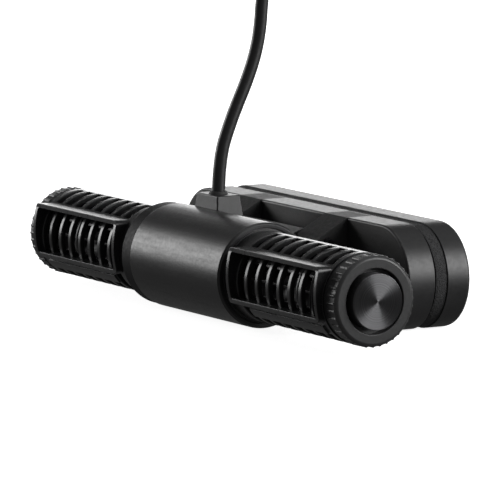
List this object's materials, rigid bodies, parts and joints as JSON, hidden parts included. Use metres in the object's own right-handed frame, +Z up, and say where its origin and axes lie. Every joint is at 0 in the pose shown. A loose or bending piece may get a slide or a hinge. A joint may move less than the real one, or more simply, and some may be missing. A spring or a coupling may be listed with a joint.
{
  "type": "wave maker pump",
  "caption": "Cross-flow wave maker pump for an aquarium: a central motor, a slotted cage with an outlet on each side, and a magnet mount for the glass.",
  "frame": {"origin": "bottom centre of the pump and its magnet mount, on the surface it stands on, the lead not counted", "axes": "+X along the pump axis, to the viewer's right from the outlet side; +Y from the pump towards the magnets; +Z up"},
  "size_m": [0.282, 0.2106, 0.1938],
  "materials": {
    "motor_plastic": "satin gloss",
    "cover_plastic": "matte",
    "gland_plastic": "satin",
    "cage_plastic": "semi-gloss",
    "cap_plastic": "satin",
    "impeller_plastic": "satin",
    "mount_plastic": "satin, fine texture",
    "disc_metal": "fine turned, anodised",
    "rubber": "matte",
    "foam": "fine-grained foam",
    "cable_jacket": "satin",
    "magnet": "plated",
    "steel": "satin",
    "copper": "enamelled",
    "ceramic": "polished ceramic",
    "board": "solder mask"
  },
  "bodies": {
    "pump": {"motor_shell": "motor_plastic", "motor_end_cover": "cover_plastic", "end_cover_seal": "rubber", "stator_core": "steel", "stator_windings": "copper", "hall_sensor_board": "board", "cable_gland": "gland_plastic", "cable_grommet": "rubber", "motor_saddle": "motor_plastic", "pivot_screws": "steel", "left_rotor_well": "cover_plastic", "right_rotor_well": "cover_plastic", "left_well_bush": "ceramic", "right_well_bush": "ceramic", "power_cable": "cable_jacket", "cable_coil": "cable_jacket", "coil_tie": "rubber", "cable_tail": "cable_jacket", "connector_body": "gland_plastic"},
    "wet_mount": {"wet_housing": "mount_plastic", "wet_cover": "mount_plastic", "wet_magnets": "magnet", "wet_pad": "rubber", "left_arm": "mount_plastic", "right_arm": "mount_plastic", "pivot_bushes": "rubber"},
    "dry_mount": {"dry_housing": "mount_plastic", "dry_cover": "mount_plastic", "dry_magnets": "magnet", "dry_pad": "foam"},
    "connector_ring": {"connector_nut": "cover_plastic"},
    "left_cage": {"left_flow_cage": "cage_plastic", "left_outlet_duct": "cage_plastic"},
    "left_cap": {"left_end_cap": "cap_plastic", "left_cap_bush": "ceramic", "left_cap_disc": "disc_metal"},
    "left_rotor": {"left_impeller": "impeller_plastic", "left_shaft": "ceramic", "left_rotor_magnet": "magnet"},
    "right_cage": {"right_flow_cage": "cage_plastic", "right_outlet_duct": "cage_plastic"},
    "right_cap": {"right_end_cap": "cap_plastic", "right_cap_bush": "ceramic", "right_cap_disc": "disc_metal"},
    "right_rotor": {"right_impeller": "impeller_plastic", "right_shaft": "ceramic", "right_rotor_magnet": "magnet"}
  },
  "joints": [
    {"name": "left_cage_aim", "type": "hinge", "parent": "pump", "child": "left_cage", "pos_m": [-0.05, -0.02465, 0.0235], "axis": [1, 0, 0], "range_deg": [-90, 90]},
    {"name": "left_cap_twist", "type": "hinge", "parent": "left_cage", "child": "left_cap", "pos_m": [-0.13, -0.02465, 0.0235], "axis": [1, 0, 0], "range_deg": [0, 45]},
    {"name": "left_rotor_spin", "type": "hinge", "parent": "pump", "child": "left_rotor", "pos_m": [-0.088, -0.02465, 0.0235], "axis": [1, 0, 0], "continuous": true},
    {"name": "right_cage_aim", "type": "hinge", "parent": "pump", "child": "right_cage", "pos_m": [0.05, -0.02465, 0.0235], "axis": [1, 0, 0], "range_deg": [-90, 90]},
    {"name": "right_cap_twist", "type": "hinge", "parent": "right_cage", "child": "right_cap", "pos_m": [0.13, -0.02465, 0.0235], "axis": [1, 0, 0], "range_deg": [0, 45]},
    {"name": "right_rotor_spin", "type": "hinge", "parent": "pump", "child": "right_rotor", "pos_m": [0.088, -0.02465, 0.0235], "axis": [1, 0, 0], "continuous": true},
    {"name": "mount_tilt", "type": "hinge", "parent": "pump", "child": "wet_mount", "pos_m": [0, 0.00585, 0.0355], "axis": [1, 0, 0], "range_deg": [-10, 10]},
    {"name": "glass_gap", "type": "slide", "parent": "wet_mount", "child": "dry_mount", "axis": [0, 1, 0], "range_m": [0, 0.015]},
    {"name": "connector_ring_turn", "type": "hinge", "parent": "pump", "child": "connector_ring", "pos_m": [0.131, 0.05715, 0.0098], "axis": [0, 1, 0], "continuous": true}
  ],
  "couplings": [
    {"joint": "right_rotor_spin", "follows": "left_rotor_spin", "ratio": 1}
  ]
}
